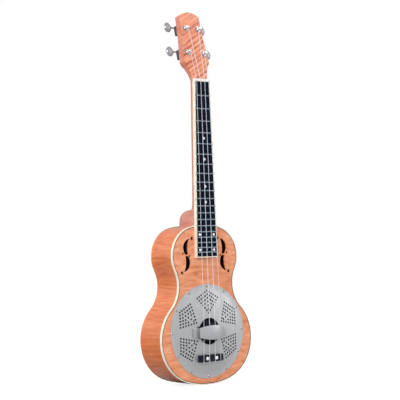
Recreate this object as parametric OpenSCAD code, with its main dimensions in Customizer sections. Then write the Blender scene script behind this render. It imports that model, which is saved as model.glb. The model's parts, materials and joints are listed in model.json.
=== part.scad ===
// Resonator ukulele: a round metal cover plate and spun cone let into a hollow figured-wood body,
// with a bound neck, four nylon strings and four worm-geared tuners.
// Every sub-part is drawn lying on its back: x across, y up the neck, z out of the face.
// upright() then stands it up, so the row frame has +Z up the neck and the face towards -Y.
// The origin is the resonator's axis on the outer face of the back.

/* [Scale and strings] */
// Distance from the nut to the saddle
scale_len = 432; // [428:1:436]
// Number of frets
fret_count = 20; // [18:1:20]
// Spacing of the strings at the nut
nut_pitch = 9; // [8.6:0.1:9.2]
// Spacing of the strings at the saddle
saddle_pitch = 12.5; // [12:0.1:12.6]
// Height of the saddle's crown above the soundboard
saddle_rise = 13.5; // [13.2:0.1:13.7]
// Height of the nut's string seats above the soundboard
nut_rise = 7.3; // [7.1:0.1:7.5]

/* [Body outline] */
// Distance from the resonator's axis down to the tail
tail_y = 91.8; // [91:0.2:93]
// Radius of the shallow curve across the tail
tail_r = 160; // [155:1:165]
// Angle turned by the tail's curve
tail_turn = 17.8; // [17.4:0.1:18.2]
// Radius of the lower bout
lower_r = 74.4; // [74:0.1:75]
// Angle turned by the lower bout
lower_turn = 118.2; // [117.8:0.1:118.6]
// Radius of the waist
waist_r = 56.1; // [55.5:0.1:57]
// Angle turned back by the waist
waist_turn = 72.9; // [72.6:0.1:73.2]
// Radius of the upper bout
upper_r = 52.1; // [51.8:0.1:52.6]
// Angle turned by the upper bout
upper_turn = 107; // [106.8:0.1:107.2]
// Depth of the body from the soundboard to the back
body_depth = 60; // [58:1:64]

/* [Body shell] */
// Thickness of the soundboard
top_t = 2.2; // [2:0.1:2.4]
// Thickness of the back
back_t = 2.2; // [2:0.1:2.6]
// Thickness of the bent sides
side_t = 2; // [1.8:0.1:2.2]
// Width of the binding strip seen from the front
binding_w = 1.6; // [1.4:0.1:1.7]
// Depth of the binding strip down the side
binding_h = 4; // [3.5:0.1:4.5]
// Width of the dark purfling line inside the binding
purfling_w = 1.2; // [0.8:0.1:1.4]
// Width of the linings glued inside the sides
lining_w = 5; // [4:0.5:5.5]

/* [Resonator] */
// Radius of the cover plate
plate_r = 80.8; // [80:0.2:81]
// Thickness of the cover plate
plate_t = 0.8; // [0.7:0.1:1]
// Height of the cover plate's dome
plate_dome = 5; // [4.5:0.1:5.5]
// Radius of the opening at the middle of the cover plate
opening_r = 23; // [22.4:0.1:23.4]
// Diameter of the sound holes in the cover plate
grid_hole_d = 3.3; // [2.6:0.1:3.4]
// Height of the hand rest's crown above the soundboard
rest_rise = 19; // [18.6:0.1:19.6]
// Radius of the cone's rim
cone_r = 71.5; // [71:0.1:71.7]

/* [Neck and headstock] */
// Width of the fingerboard at the nut, without its binding
board_w_nut = 30.1; // [29.8:0.1:30.4]
// Width of the fingerboard at its body end, without its binding
board_w_end = 43.8; // [43:0.1:44.2]
// Thickness of the fingerboard
board_t = 6; // [5.8:0.1:6.2]
// Thickness of the neck behind the fingerboard
neck_depth = 13.5; // [13:0.1:14.5]
// Depth of the heel behind the fingerboard
heel_depth = 55.5; // [50:0.5:57]
// Angle that the headstock tilts back
head_tilt = 12; // [11:0.5:13]
// Thickness of the headstock with its veneer
head_t = 14; // [13.5:0.1:14]

/* [Tuners] */
// Number of teeth on each tuner gear
gear_teeth = 14; // [14:1:14]
// Distance between the post's axis and the worm's axis
worm_offset = 6.4; // [6.4:0.1:6.4]
// Length of each tuner button along the headstock
button_len = 18; // [15:0.5:19]

/* [Hidden] */

$fn = 64;
eps = 0.01;         // overlap that makes a cut pass right through a face
fit = 0.02;         // gap left between glued or pressed faces
run = 0.05;         // radial clearance of a running fit
arc_step = 4;       // degrees between the points of a long curve
far = 300;          // reaches past the whole body when a shape is cut in two
disc_fn = 128;      // facets of the large discs and rings

maple = [0.90, 0.58, 0.42];
cream = [0.98, 0.93, 0.82];
ebony = [0.08, 0.09, 0.12];
nickel = [0.70, 0.71, 0.73];
chrome = [0.82, 0.83, 0.86];
spruce = [0.87, 0.76, 0.58];
nylon = [0.93, 0.92, 0.95];

face_z = body_depth;                            // outer face of the soundboard
top_z = body_depth - top_t;                     // underside of the soundboard
body_arcs = [[tail_r, tail_turn], [lower_r, lower_turn], [-waist_r, -waist_turn], [upper_r, upper_turn]];
shoulder_start = walk_end([0, -tail_y], 0, body_arcs);
shoulder_heading = tail_turn + lower_turn - waist_turn + upper_turn;
shoulder_r = shoulder_start[0] / sin(shoulder_heading);
all_arcs = concat(body_arcs, [[shoulder_r, 180 - shoulder_heading]]);
body_top_y = walk_end([0, -tail_y], 0, all_arcs)[1];
seam = 0.2;                                     // gap left beside the linings and round the soundwell
inside = side_t + lining_w + seam;              // inset that clears the linings

well_r = 72;        // hole in the soundboard and bore of the soundwell
well_rim_r = 66;    // inner edge of the ledge that carries the cone
well_out_r = 81;
ledge_z = 46;       // height of the ledge above the back
ledge_t = 4;
lining_h = 11.8;    // depth of the lining under the soundboard
back_lining_h = 7.8;
rim_screw_r = 77.5; // radius of the circle of cover plate screws
rim_screws = 12;
rim_screw_len = 12;
rim_head_r = 2.3;
rim_head_h = 1.3;
rim_head_ball_r = (pow(rim_head_r, 2) + pow(rim_head_h, 2)) / (2 * rim_head_h);
pilot_r = 1.1;
dome_start_r = 74;  // where the plate's flat rim turns into its dome
dome_ball_r = (pow(dome_start_r, 2) + pow(plate_dome, 2)) / (2 * plate_dome);
plate_z = face_z + plate_t;                     // outer face of the plate's flat rim
dome_ball_z = plate_z + plate_dome - dome_ball_r;

grid_turns = [-120, -60, 0, 60, 120];
grid_in = 31.8;     // radius of a sound-hole grid's inner corner
grid_side = 57.2;   // radius of its side corners
grid_out = 70;      // radius of its outer corner
grid_half_w = 22.5;
grid_steps = 5;     // spaces along each outer edge; the inner edges have one more

cone_t = 0.6;
cone_top_z = 58;
cone_top_r = 18;
biscuit_r = 17;
biscuit_t = 5;
biscuit_bore_r = 1.3;
biscuit_head_h = 1.5;
slot_z = cone_top_z + 2;        // floor of the saddle's slot in the biscuit
saddle_t = 3;
saddle_half = 21;
saddle_z = face_z + saddle_rise;
rest_half = 27.2;   // half the span of the hand rest's legs
rest_foot = 9;      // length of each foot on the cover plate
rest_y = -1.5;
rest_half_w = 8.2;  // half the hand rest's width at its legs
rest_bulge = 4.2;
rest_t = 1;
rest_z = face_z + rest_rise;
rest_drop = 6;      // how far the crown has come down where it meets the legs
slot_half_w = 8.9;  // half the width of the opening's slots, which reach the hand rest's legs

tie_y = -46;        // middle of the tie block
tie_half = 25;
tie_half_w = 6;
tie_z = face_z + 10.8;
tie_bolt_x = 10.2;
tie_bolt_r = 2;
tie_head_r = 3;
tie_head_h = 1.6;
tie_recess = 3;     // depth of the hole over each bolt's head, closed by a dot
tie_dot_t = 1.2;
tie_nut_t = 3;

bind_t = 1.7;       // thickness of the fingerboard's binding
board_end_y = 128.7;
board_z = face_z + board_t;
fret_crown = 1;
fret_w = 2;
tang_w = 0.5;
tang_h = 2;
dot_r = 2.4;
dot_t = 1.2;
side_dot_r = 0.9;
side_dot_t = 1.2;
single_spaces = [5, 7, 10, 12];
double_spaces = [17, 20];
double_dot_x = 15.6;
nut_len = 5;
nut_z = face_z + nut_rise;
shelf_t = 3;        // thickness of the neck's wood under the nut
block_half = 26;    // half the width of the neck block
block_y = 150;      // tail end of the neck block
tail_half = 24;
tail_len = 23;      // how far the tail block reaches up the body
bolt_zs = [18, 38]; // heights of the neck bolts above the back
bolt_r = 3;
bolt_tip_y = body_top_y + 16;
heel_top_y = 210;   // where the heel has run out into the neck's shaft

veneer_t = 1.5;
head_gap = 0.4;     // the veneer starts this far behind the nut
head_y = scale_len + nut_len;
head_arcs = [[-47.7, -36], [8, 43], [-920, -5.18], [2.2, 63.5]];
gable_turn = 15;
flare_r = -head_arcs[0][0];
flare_len = 24;     // length over which the round shaft becomes the square headstock
gable_start = walk_end([board_half(scale_len), 0], 90, head_arcs);
gable_heading = 90 + sum_turns(head_arcs);
gable_r = gable_start[0] / (sin(gable_heading) - sin(gable_heading + gable_turn));

// Each tuner: its side of the headstock, and its post's place across and up the headstock.
tuners = [[-1, 18, 48.2], [-1, 14, 93.2], [1, 14, 93.2], [1, 18, 48.2]];
string_rs = [0.38, 0.5, 0.46, 0.36];
bend_share = 1.05;  // radius of the ball that joins two spans of a string, over the string's radius
post_r = 3;
waist_post_r = 2.4;
post_tip_z = 9.2;
wind_z = 5.7;       // height of the windings above the headstock's face
wind_r = waist_post_r + 0.1;
wind_half = 1.6;    // half the length of the post's waist
washer_r = 5.3;
washer_t = 0.8;
barrel_r = 4;
hex_r = 4.9;
hex_t = 2;
gear_z = -head_t - 4.5;
gear_t = 2.6;
gear_root_r = 3.55;
gear_tip_r = 4.55;
gear_bore_r = waist_post_r + fit;
worm_pitch = 2 * PI * 4.2 / gear_teeth;         // the gear's pitch radius is 4.2
worm_mid_r = 2.175;
worm_ecc = 0.425;
worm_turns = 4;
worm_len = worm_turns * worm_pitch;
shaft_r = 1.3;
house_z = gear_z - 4.2;
house_half = 6.4;   // half the housing's width, across the headstock
pin_z = gear_z - 3.2;                           // end of the post inside the housing
shaft_x = -5;       // inner end of the worm's shaft, from the post's axis
button_x = 24;
button_w = 14.4;
button_t = 7;
button_screw_r = 0.6;
button_screw_head_r = 1.6;
screw_y = -9.4;     // the housing's screw, below the post
screw_r = 0.9;
tab_r = 2.6;        // the tab that the screw holds down
tab_t = 1.5;
pin_r = 2;          // the post's lower end

// Curves ------------------------------------------------------------------------------------

// End of an arc that starts at p with heading h; a negative radius and turn bend it to the right.
function arc_end(p, h, r, turn) = p + r * [sin(h + turn) - sin(h), cos(h) - cos(h + turn)];

// End of a chain of arcs [[radius, turn], ...], each tangent to the last.
function walk_end(p, h, arcs, i = 0) = i >= len(arcs) ? p :
    walk_end(arc_end(p, h, arcs[i][0], arcs[i][1]), h + arcs[i][1], arcs, i + 1);

// Points along the same chain, set in to the left of it by inset.
function walk(p, h, arcs, inset = 0, i = 0) = i >= len(arcs) ? [] :
    let (r = arcs[i][0] - inset, turn = arcs[i][1], n = max(2, ceil(abs(turn) / arc_step)))
    concat([for (k = [1:n]) arc_end(p, h, r, turn * k / n)],
           walk(arc_end(p, h, r, turn), h + turn, arcs, inset, i + 1));

// Total angle turned by a chain of arcs.
function sum_turns(arcs, i = 0) = i >= len(arcs) ? 0 : arcs[i][1] + sum_turns(arcs, i + 1);

function reversed(list) = [for (i = [len(list) - 1:-1:0]) list[i]];

// A right-hand half outline, mirrored to close it.
function mirrored(half) = concat(half, [for (p = reversed(half)) if (p[0] > eps) [-p[0], p[1]]]);

// Points of the arc from a to b whose middle stands off the chord by bulge, to the right of it.
function bowed(a, b, bulge, n = 10) =
    let (d = b - a, half = norm(d) / 2, r = (half * half + bulge * bulge) / (2 * bulge),
         turn = 2 * asin(half / r), h = atan2(d[1], d[0]) - turn / 2)
    concat([a], [for (k = [1:n]) arc_end(a, h, r, turn * k / n)]);

// The body's outline, set in by inset.
function body_points(inset) =
    mirrored(concat([[0, -tail_y + inset]], walk([0, -tail_y + inset], 0, all_arcs, inset)));

// Half the fingerboard's width with its binding, at distance y from the saddle.
function board_half(y) = bind_t + (board_w_nut + (board_w_end - board_w_nut)
    * (scale_len - y) / (scale_len - board_end_y)) / 2;

function fret_y(n) = scale_len * pow(2, -n / 12);
function space_y(n) = (fret_y(n) + fret_y(n - 1)) / 2;

// Height of the cover plate's outer face at distance r from its axis.
function dome_z(r) = dome_ball_z + sqrt(pow(dome_ball_r, 2) - r * r);

// Points along the plate's outer face, from its opening to the start of its flat rim.
function dome_curve(n = 6) = [for (k = [0:n]) let (r = opening_r + (dome_start_r - opening_r) * k / n)
    [r, dome_z(r)]];

// A point of the headstock's own frame, in the lying frame.
function from_head(p) = [p[0], head_y + p[1] * cos(head_tilt) + p[2] * sin(head_tilt),
    face_z - p[1] * sin(head_tilt) + p[2] * cos(head_tilt)];

// Frames ------------------------------------------------------------------------------------

// Stands a lying part up.
module upright() {
    rotate([90, 0, 0]) children();
}

// A flat outline raised from z = low to z = high.
module slab(low, high) {
    translate([0, 0, low]) linear_extrude(high - low) children();
}

// The headstock's frame: y runs up the headstock from the nut, z out of its face.
module head_frame() {
    upright() translate([0, head_y, face_z]) rotate([-head_tilt, 0, 0]) children();
}

// The frame of tuner i: origin where its post leaves the headstock's face, x towards its button.
module at_tuner(i) {
    side = tuners[i][0];
    head_frame() translate([side * tuners[i][1], tuners[i][2], 0])
        mirror([side < 0 ? 1 : 0, 0, 0]) children();
}

// Turns what is drawn along z to run along x.
module along_x() {
    rotate([0, 90, 0]) children();
}

// A round rod from a to b.
module rod(a, b, r) {
    d = b - a;
    translate(a) rotate([0, acos(d[2] / norm(d)), atan2(d[1], d[0])]) cylinder(h = norm(d), r = r);
}

module body_shape(inset) {
    polygon(body_points(inset));
}

// Body --------------------------------------------------------------------------------------

// One f-hole: two lobes turned half round about its middle, with a dot at each end and each side.
module f_hole() {
    outer = bowed([3.2, 1.2], [-7.4, 28.7], 9.4);
    inner = bowed([-5.2, 25.8], [-3.4, 1.2], -2);
    for (turn = [0, 180]) rotate(turn) polygon(concat(outer, inner));
    for (dot = [[-11.9, 28.8], [11.2, -29.6]]) translate(dot) circle(d = 5.8);
    for (dot = [[8.2, 3.1], [-6.2, -1.5]]) translate(dot) circle(d = 3.9);
}

module f_holes() {
    for (side = [0, 1]) mirror([side, 0]) translate([40.5, 131.6]) f_hole();
}

// The circle of places for the cover plate's rim screws.
module rim_places() {
    for (k = [0:rim_screws - 1]) rotate(k * 360 / rim_screws) translate([0, rim_screw_r]) children();
}

module soundboard() {
    color(maple) upright() difference() {
        slab(top_z, face_z) body_shape(binding_w + purfling_w);
        slab(top_z - eps, face_z + eps) {
            circle(well_r, $fn = disc_fn);
            f_holes();
            rim_places() circle(pilot_r + fit);
        }
    }
}

module back() {
    color(maple) upright() slab(0, back_t) body_shape(0);
}

// The bent side on one side of the centre line; the neck bolts pass between the two.
module side(sign) {
    color(maple) upright() difference() {
        slab(back_t, face_z - binding_h) intersection() {
            difference() {
                body_shape(0);
                body_shape(side_t);
            }
            translate([sign > 0 ? 0 : -far, -far]) square([far, 2 * far]);
        }
        neck_bolt_bores();
    }
}

module front_binding() {
    color(cream) upright() slab(face_z - binding_h, face_z) difference() {
        body_shape(0);
        body_shape(binding_w);
    }
}

module front_purfling() {
    color(ebony) upright() slab(top_z, face_z) difference() {
        body_shape(binding_w);
        body_shape(binding_w + purfling_w);
    }
}

// A lining strip round the inside of the sides, broken at the two blocks.
module lining(low, high) {
    color(spruce) upright() slab(low, high) difference() {
        body_shape(side_t);
        body_shape(side_t + lining_w);
        translate([-block_half - seam, block_y]) square([2 * (block_half + seam), far]);
        translate([-tail_half - seam, -tail_y]) square([2 * (tail_half + seam), tail_len]);
    }
}

module neck_block() {
    color(spruce) upright() difference() {
        slab(back_t, top_z) intersection() {
            body_shape(side_t);
            translate([-block_half, block_y]) square([2 * block_half, far]);
        }
        neck_bolt_bores();
    }
}

module tail_block() {
    color(spruce) upright() slab(back_t, top_z) difference() {
        intersection() {
            body_shape(side_t);
            translate([-tail_half, -tail_y]) square([2 * tail_half, tail_len]);
        }
        circle(well_out_r + seam, $fn = disc_fn);
    }
}

// Two bars across the inside of the back.
module back_braces() {
    brace_w = 8;
    brace_h = 7;
    color(spruce) upright() for (y = [-40, 110]) slab(back_t, back_t + brace_h) intersection() {
        body_shape(inside);
        translate([-far, y]) square([2 * far, brace_w]);
    }
}

// Resonator ---------------------------------------------------------------------------------

// The ring under the soundboard, with a ledge that the cone's rim rests on.
module soundwell() {
    color(spruce) upright() difference() {
        slab(ledge_z - ledge_t, top_z) intersection() {
            body_shape(inside);
            circle(well_out_r, $fn = disc_fn);
        }
        translate([0, 0, ledge_z]) cylinder(h = top_z, r = well_r, $fn = disc_fn);
        cylinder(h = top_z, r = well_rim_r, $fn = disc_fn);
        slab(plate_z - rim_screw_len - 1, top_z + eps) rim_places() circle(pilot_r + fit);
    }
}

// The solid below the cover plate's outer face, used to shape what stands on the plate.
module dome_fill() {
    outer = [for (p = concat([[0, dome_z(opening_r)]], dome_curve(), [[plate_r, plate_z]])) p + [0, fit]];
    rotate_extrude($fn = disc_fn) polygon(concat([[0, 0]], outer, [[plate_r, 0]]));
}

// One kite-shaped grid of sound holes, pointing outwards along +y. Each column runs from an outer
// edge to an inner one.
module kite_holes() {
    tip = [0, grid_out];
    root = [0, grid_in];
    for (side = [-1, 1]) {
        corner = [side * grid_half_w, grid_side];
        for (k = [0:grid_steps - 1]) {
            outer = corner + (tip - corner) * k / grid_steps;
            inner = corner + (root - corner) * k / (grid_steps + 1);
            for (j = [0:k]) translate(outer + (inner - outer) * j / max(1, k)) children();
        }
        translate(corner + (root - corner) * grid_steps / (grid_steps + 1)) children();
    }
    for (j = [0:grid_steps + 1]) translate(tip + (root - tip) * j / (grid_steps + 1)) children();
}

module cover_plate() {
    color(nickel) upright() difference() {
        rotate_extrude($fn = disc_fn) polygon(concat(dome_curve(), [[plate_r, plate_z], [plate_r, face_z]],
            reversed([for (p = dome_curve()) p - [0, plate_t]])));
        translate([0, 0, face_z - eps]) {
            for (turn = grid_turns) rotate(turn) kite_holes() cylinder(h = plate_dome * 2, d = grid_hole_d);
            rim_places() cylinder(h = plate_t * 2, r = pilot_r + run);
            tie_bolt_places() cylinder(h = plate_dome * 2, r = tie_bolt_r + run);
        }
        slab(face_z - eps, rest_z) square(2 * [rest_half - rest_t, slot_half_w], center = true);
    }
}

module cover_plate_screws() {
    color(chrome) upright() translate([0, 0, plate_z + fit]) rim_places() {
        translate([0, 0, -rim_screw_len]) cylinder(h = rim_screw_len + eps, r = pilot_r);
        intersection() {
            translate([0, 0, rim_head_h - rim_head_ball_r]) sphere(rim_head_ball_r);
            cylinder(h = 2 * rim_head_h, r = 2 * rim_head_r);
        }
    }
}

// The band bridging the plate's opening: its outline from the side, then from the front.
module hand_rest() {
    knee_r = 0.7;
    knee = [rest_half - knee_r, rest_z - rest_drop];
    outer_half = concat([[rest_half, face_z]], bowed(knee + knee_r * [1, -1], knee, 0.29 * knee_r, 3),
        bowed(knee, [0, rest_z], 1.5, 12));
    inner_half = [for (p = outer_half) [p[0] * (rest_half - rest_t) / rest_half,
        face_z + (p[1] - face_z) * (rest_rise - rest_t) / rest_rise]];
    edge = bowed([rest_half, rest_half_w], [-rest_half, rest_half_w], rest_bulge, 20);
    foot_x = rest_half + (rest_foot - rest_t) / 2;
    color(nickel) upright() difference() {
        intersection() {
            rotate([90, 0, 0]) linear_extrude(far, center = true) {
                difference() {
                    polygon(mirrored(outer_half));
                    polygon(mirrored(inner_half));
                }
                for (side = [-1, 1]) translate([side * foot_x, dome_z(rest_half)])
                    square([rest_foot + rest_t, 2 * rest_t], center = true);
            }
            translate([0, rest_y]) slab(face_z, rest_z + 1) {
                polygon(concat(edge, -edge));
                square(2 * [rest_half + rest_foot, rest_half_w], center = true);
            }
        }
        dome_fill();
    }
}

// The spun cone, a thin shell that rises from its flat rim to a flat crown.
module cone() {
    crown_z = cone_top_z - cone_t;
    under = [[cone_r, ledge_z], [well_rim_r + 0.5, ledge_z], [62, ledge_z + 0.4], [60, ledge_z + 1.8],
        [cone_top_r, crown_z - 1], [cone_top_r - 2, crown_z], [biscuit_bore_r + 0.3, crown_z]];
    color(nickel) upright() rotate_extrude($fn = disc_fn)
        polygon(concat(under, [for (p = reversed(under)) p + [0, cone_t]]));
}

module biscuit() {
    color(ebony) upright() difference() {
        translate([0, 0, cone_top_z + fit]) cylinder(h = biscuit_t, r = biscuit_r);
        translate([0, 0, slot_z + biscuit_t])
            cube([3 * biscuit_r, saddle_t + 2 * fit, 2 * biscuit_t], center = true);
        cylinder(h = 2 * cone_top_z, r = biscuit_bore_r);
    }
}

module biscuit_screw() {
    color(chrome) upright() translate([0, 0, cone_top_z - cone_t - biscuit_head_h]) {
        cylinder(h = biscuit_head_h - fit, r = 3);
        translate([0, 0, biscuit_head_h / 2]) cylinder(h = 2.4, r = biscuit_bore_r - run);
    }
}

// The saddle comes to a ridge under the strings, and is cut away beside the biscuit.
module saddle() {
    half_t = saddle_t / 2;
    color(ebony) upright() difference() {
        rotate([90, 0, 90]) linear_extrude(2 * saddle_half, center = true)
            polygon([[-half_t, slot_z + fit], [half_t, slot_z + fit], [half_t, saddle_z - 0.4], [0, saddle_z],
                [-half_t, saddle_z - 0.5]]);
        for (side = [-1, 1]) translate([side * saddle_half, 0, cone_top_z])
            cube([2 * (saddle_half - biscuit_r + fit), 3 * saddle_t, 2 * biscuit_t + 1], center = true);
    }
}

// The end of string i, inside the tie block's tail side.
function tie_hole(i) = [string_x(i, -1), tie_y - 3, tie_z - tie_recess];

module tie_bolt_places() {
    for (side = [-1, 1]) translate([side * tie_bolt_x, tie_y]) children();
}

module tie_block() {
    chamfer = 1;
    section = [[tie_half_w, face_z], [tie_half_w, tie_z - chamfer], [tie_half_w - chamfer, tie_z]];
    color(ebony) upright() difference() {
        translate([0, tie_y, 0]) rotate([90, 0, 90]) linear_extrude(2 * tie_half, center = true)
            polygon(mirrored(section));
        dome_fill();
        tie_bolt_places() {
            translate([0, 0, face_z]) cylinder(h = far, r = tie_bolt_r + fit);
            translate([0, 0, tie_z - tie_recess]) cylinder(h = far, r = tie_head_r + fit);
        }
        for (i = [0:3])
            rod(tie_hole(i) - [0, 2 * tie_half_w, 0], tie_hole(i) + [0, 1, 0], string_rs[i] + run);
    }
}

module tie_block_bolts() {
    color(chrome) upright() tie_bolt_places() {
        translate([0, 0, tie_z - tie_recess + fit]) cylinder(h = tie_head_h, r = tie_head_r);
        translate([0, 0, face_z - 3]) cylinder(h = tie_z - face_z + 1, r = tie_bolt_r);
    }
}

module tie_block_nuts() {
    color(chrome) upright() tie_bolt_places() difference() {
        translate([0, 0, face_z - tie_nut_t / 2]) cylinder(h = tie_nut_t, r = 3.9, $fn = 6);
        cylinder(h = far, r = tie_bolt_r + fit);
    }
}

module tie_block_dots() {
    color("white") upright() tie_bolt_places()
        translate([0, 0, tie_z - tie_dot_t]) cylinder(h = tie_dot_t, r = tie_head_r);
}

// Neck --------------------------------------------------------------------------------------

module neck_bolt_bores() {
    for (z = bolt_zs) rod([0, block_y - 1, z], [0, bolt_tip_y + 2, z], bolt_r + fit);
}

// A section of the neck: flat on top at z = 0, and a rounded back; a low power makes it squarer.
function neck_ring(half_w, depth, power, n = 24) = [for (k = [0:n]) let (a = 180 * k / n)
    [half_w * sign(cos(a)) * pow(abs(cos(a)), power), -depth * pow(abs(sin(a)), power)]];

// How much of the heel's depth is left at y, from 1 at the body to 0 on the shaft.
function heel_share(y) = y >= heel_top_y ? 0 :
    pow(1 - pow(max(0, (y - body_top_y) / (heel_top_y - body_top_y)), 3), 1 / 3);

// Extra depth that softens the corner between the heel and the shaft.
function fillet(y) = 5 * exp(-abs(y - heel_top_y) / 5);

// The neck's section at distance y from the saddle.
function shaft_section(y) =
    let (share = heel_share(y),
         depth = neck_depth + (heel_depth - neck_depth) * share + (1 - share) * fillet(y))
    [for (p = neck_ring(board_half(y) - fit, depth, 0.85 - 0.25 * share)) [p[0], y, face_z + p[1]]];

// Half the headstock's width at distance s from the nut, along its flared start.
function flare_half(s) = board_half(scale_len) + flare_r - sqrt(flare_r * flare_r - s * s);

// The section at distance s up the headstock; share goes from 0 at the round shaft to 1 where it is square.
function head_section(s, share) =
    [for (p = neck_ring(flare_half(s), head_t - veneer_t, 0.85 - 0.72 * share))
        from_head([p[0], s, p[1] - veneer_t])];

// A closed solid through a list of rings that all have the same number of points.
module loft(rings) {
    n = len(rings[0]);
    last = len(rings) - 1;
    polyhedron(
        [for (ring = rings) for (p = ring) p],
        concat(
            [for (i = [0:last - 1], k = [0:n - 1]) let (a = i * n + k, b = i * n + (k + 1) % n)
                [a, a + n, b + n, b]],
            [[for (k = [0:n - 1]) k]],
            [[for (k = [n - 1:-1:0]) last * n + k]]));
}

module neck() {
    start_y = body_top_y - 8;   // inside the body, which is then cut away
    heel_ys = [for (k = [0:9]) start_y + (heel_top_y - start_y) * pow(sin(9 * k), 0.8)];
    shaft_ys = [for (k = [0:12]) heel_top_y + (scale_len - heel_top_y) * pow(k / 12, 1.6)];
    nut_half = board_half(scale_len) - fit;
    color(maple) difference() {
        union() {
            upright() {
                loft(concat([for (y = heel_ys) shaft_section(y)], [for (y = shaft_ys) shaft_section(y)],
                    [for (k = [0:8]) head_section(flare_len * k / 8, k / 8)]));
                translate([-nut_half, scale_len - 4, face_z - shelf_t])
                    cube([2 * nut_half, nut_len + 4, shelf_t]);
            }
            head_frame() slab(-head_t, -veneer_t) head_shape(flare_len - eps);
        }
        upright() {
            slab(-1, face_z + eps) body_shape(0);
            neck_bolt_bores();
        }
        head_frame() {
            slab(-veneer_t, 1) translate([-far, head_gap / 2]) square([2 * far, far]);
            for (t = tuners) translate([t[0] * t[1], t[2], -head_t - eps]) {
                cylinder(h = head_t, r = barrel_r + run);
                translate([0, screw_y, 0]) cylinder(h = 8, r = screw_r + fit);
            }
        }
    }
}

module neck_bolts() {
    color(chrome) upright() for (z = bolt_zs) {
        rod([0, block_y - fit, z], [0, bolt_tip_y, z], bolt_r);
        rod([0, block_y - 4, z], [0, block_y - fit, z], bolt_r + 2.2);
    }
}

// The headstock's outline, from start upwards: a flare, a rounded corner, a taper and a gable.
module head_shape(start) {
    half = concat([[board_half(scale_len), 0]], walk([board_half(scale_len), 0], 90, head_arcs),
        walk(gable_start, gable_heading, [[gable_r, gable_turn]]));
    intersection() {
        polygon(mirrored(half));
        translate([-far, start]) square([2 * far, far]);
    }
}

module headstock_veneer() {
    color(maple) head_frame() difference() {
        slab(-veneer_t + fit, 0) head_shape(head_gap);
        for (t = tuners) translate([t[0] * t[1], t[2], 0])
            cylinder(h = 4 * veneer_t, r = barrel_r + run, center = true);
    }
}

// The tapered outline of the fingerboard between two distances from the saddle, drawn in by inset.
module board_shape(low, high, inset) {
    polygon(mirrored([[board_half(low) - inset, low], [board_half(high) - inset, high]]));
}

module marker_places() {
    for (n = single_spaces) translate([0, space_y(n), board_z - dot_t]) children();
    for (n = double_spaces, side = [-1, 1])
        translate([side * double_dot_x, space_y(n), board_z - dot_t]) children();
}

// Places of the side dots: one beside each marked space, and two beside the twelfth.
module side_marker_places() {
    for (n = single_spaces, shift = n == 12 ? [-4, 4] : [0]) let (y = space_y(n) + shift)
        translate([-board_half(y), y, board_z - board_t / 2]) along_x() children();
}

module fingerboard() {
    color(ebony) upright() difference() {
        slab(face_z, board_z) board_shape(board_end_y + fit, scale_len, bind_t + fit);
        for (n = [1:fret_count]) translate([0, fret_y(n), board_z])
            cube([far, tang_w + 2 * fit, 2 * tang_h], center = true);
        marker_places() cylinder(h = 2 * dot_t, r = dot_r + fit);
    }
}

module fingerboard_binding() {
    color(cream) upright() difference() {
        slab(face_z, board_z) difference() {
            board_shape(board_end_y - bind_t, scale_len, 0);
            board_shape(board_end_y, scale_len + 1, bind_t);
        }
        side_marker_places() cylinder(h = 2 * side_dot_t, r = side_dot_r + fit, center = true);
    }
}

// Each fret is a rounded crown on a tang that sits in the fingerboard's slot.
module frets() {
    crown_r = (pow(fret_w / 2, 2) + pow(fret_crown, 2)) / (2 * fret_crown) + run;
    color(chrome) upright() for (n = [1:fret_count]) translate([0, fret_y(n), board_z]) {
        half = board_half(fret_y(n)) - 0.3;     // the ends stop just inside the binding's edge
        intersection() {
            translate([-half, 0, fret_crown - crown_r]) along_x() cylinder(h = 2 * half, r = crown_r);
            translate([0, 0, fit + fret_w / 2]) cube([far, fret_w, fret_w], center = true);
        }
        translate([0, 0, (fret_crown - tang_h) / 2 + fit])
            cube([2 * (half - bind_t), tang_w, tang_h + fret_crown / 2], center = true);
    }
}

module nut() {
    width = 2 * board_half(scale_len) - 0.4;
    crown = nut_rise + 0.5;
    section = [[0, 0], [nut_len - fit, 0], [nut_len - fit, nut_rise - 1.2], [nut_len / 2, crown], [0, crown]];
    color(cream) upright() difference() {
        translate([0, scale_len + fit, face_z + fit]) rotate([90, 0, 90]) linear_extrude(width, center = true)
            polygon(section);
        for (i = [0:3]) let (r = string_rs[i]) {
            string_span(i, r + run);
            translate([string_x(i, 1), scale_len + nut_len / 2, nut_z + nut_len + r])
                cube([2 * r + 0.3, 4 * nut_len, 2 * nut_len], center = true);
        }
    }
}

module face_markers() {
    color("white") upright() marker_places() cylinder(h = dot_t, r = dot_r);
}

module side_markers() {
    color(ebony) upright() side_marker_places() cylinder(h = side_dot_t, r = side_dot_r);
}

// Strings -----------------------------------------------------------------------------------

// Distance of string i from the centre line: at the nut for end = 1, at the saddle for end = -1.
function string_x(i, end) = (i - 1.5) * (end > 0 ? nut_pitch : saddle_pitch);

// The points where string i leaves the nut, the saddle and its windings.
function nut_point(i) = [string_x(i, 1), scale_len + nut_len / 2 - 0.5, nut_z + string_rs[i]];
function saddle_point(i) = [string_x(i, -1), 0, saddle_z + bend_share * string_rs[i] + fit];
function wind_point(i) = let (t = tuners[i])
    from_head([t[0] * (t[1] - wind_r - 0.8 * string_rs[i]), t[2], wind_z]);

// The parts of string i that pass over the nut.
module string_span(i, r) {
    rod(saddle_point(i), nut_point(i), r);
    translate(nut_point(i)) sphere(bend_share * r, $fn = 24);
    rod(nut_point(i), wind_point(i), r);
}

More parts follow.
